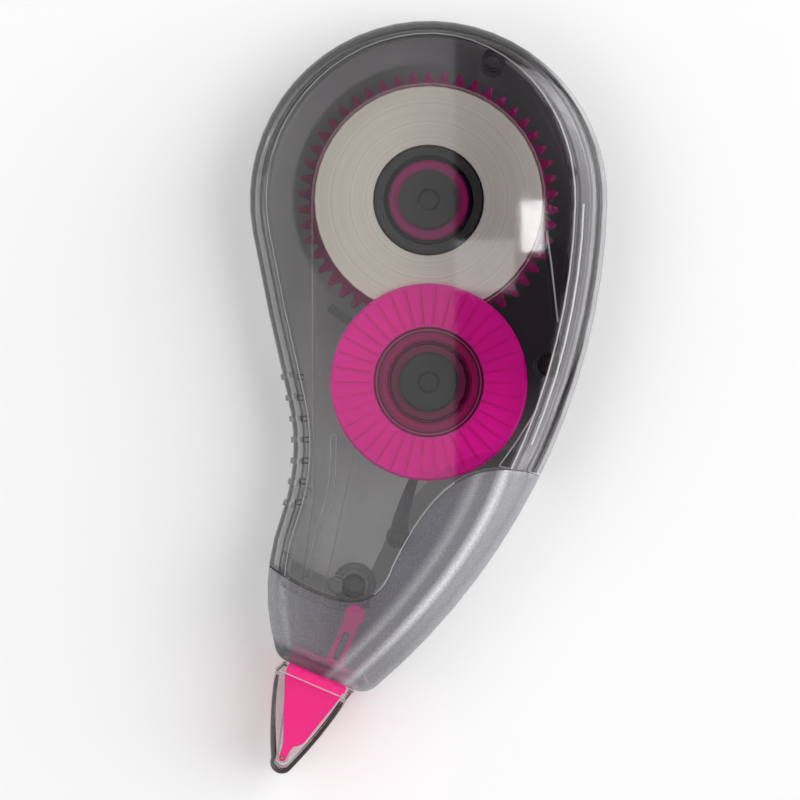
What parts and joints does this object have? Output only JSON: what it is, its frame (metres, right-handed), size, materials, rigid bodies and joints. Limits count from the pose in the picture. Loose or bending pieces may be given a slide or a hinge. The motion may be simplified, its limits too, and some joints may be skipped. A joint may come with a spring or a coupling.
{
  "type": "correction tape dispenser",
  "caption": "Pear-shaped correction tape dispenser with clear smoky shells, frosted nose, geared supply and take-up reels, pink applicator tip and slide-on cap.",
  "frame": {"origin": "on the outside of the back face, on the axis of the supply reel", "axes": "+Z out of the back face towards the front face, +Y from the nose towards the round end, +X to the right of the front face"},
  "size_m": [0.0444, 0.0936, 0.014],
  "materials": {
    "clear_back": "clear smoky polystyrene",
    "clear_front": "clear smoky polystyrene",
    "frosted_back": "frosted grey",
    "frosted_front": "frosted grey",
    "axle": "moulded dark grey",
    "supply_gear": "moulded magenta",
    "clutch_ring": "soft rubber",
    "supply_core": "moulded dark grey",
    "tape_pack": "wound coated film",
    "pinion": "moulded magenta",
    "flange": "moulded magenta",
    "spent_tape": "bare carrier film",
    "coated_tape": "white coated film",
    "pawl": "moulded dark grey",
    "applicator": "translucent pink",
    "tip_roller": "translucent pink",
    "tip_axle": "drawn wire",
    "cap": "clear smoky polystyrene"
  },
  "bodies": {
    "case": {"back_shell": "clear_back", "front_shell": "clear_front", "back_nose_cover": "frosted_back", "front_nose_cover": "frosted_front", "supply_axle": "axle", "take_up_axle": "axle", "coated_tape": "coated_tape", "spent_tape": "spent_tape", "applicator_head": "applicator", "tip_axle": "tip_axle"},
    "supply_drive": {"supply_gear": "supply_gear", "clutch_ring": "clutch_ring"},
    "supply_reel": {"supply_core": "supply_core", "tape_pack": "tape_pack"},
    "take_up_reel": {"take_up_pinion": "pinion", "take_up_flange": "flange", "spent_tape_roll": "spent_tape"},
    "tip_wheel": {"tip_roller": "tip_roller"},
    "pawl": {"ratchet_pawl": "pawl"},
    "cap_body": {"cap": "cap"}
  },
  "joints": [
    {"name": "supply_gear_spin", "type": "hinge", "parent": "case", "child": "supply_drive", "pos_m": [0, 0, 0.0026], "axis": [0, 0, 1], "continuous": true},
    {"name": "supply_reel_slip", "type": "hinge", "parent": "supply_drive", "child": "supply_reel", "pos_m": [0, 0, 0.0068], "axis": [0, 0, 1], "continuous": true},
    {"name": "take_up_spin", "type": "hinge", "parent": "case", "child": "take_up_reel", "pos_m": [0, -0.02268, 0.0026], "axis": [0, 0, 1], "continuous": true},
    {"name": "tip_roller_spin", "type": "hinge", "parent": "case", "child": "tip_wheel", "pos_m": [-0.01821, -0.06942, 0.0068], "axis": [0, 0, 1], "continuous": true},
    {"name": "pawl_flex", "type": "hinge", "parent": "case", "child": "pawl", "pos_m": [-0.0038, -0.04208, 0.0027], "axis": [0, 0, -1], "range_deg": [0, 6], "stiffness_Nm_per_rad": 0.0005},
    {"name": "cap_slide", "type": "slide", "parent": "case", "child": "cap_body", "axis": [-0.3955, -0.9184, 0], "range_m": [0, 0.025]}
  ],
  "couplings": [
    {"joint": "take_up_spin", "follows": "supply_gear_spin", "ratio": -2.2727}
  ]
}
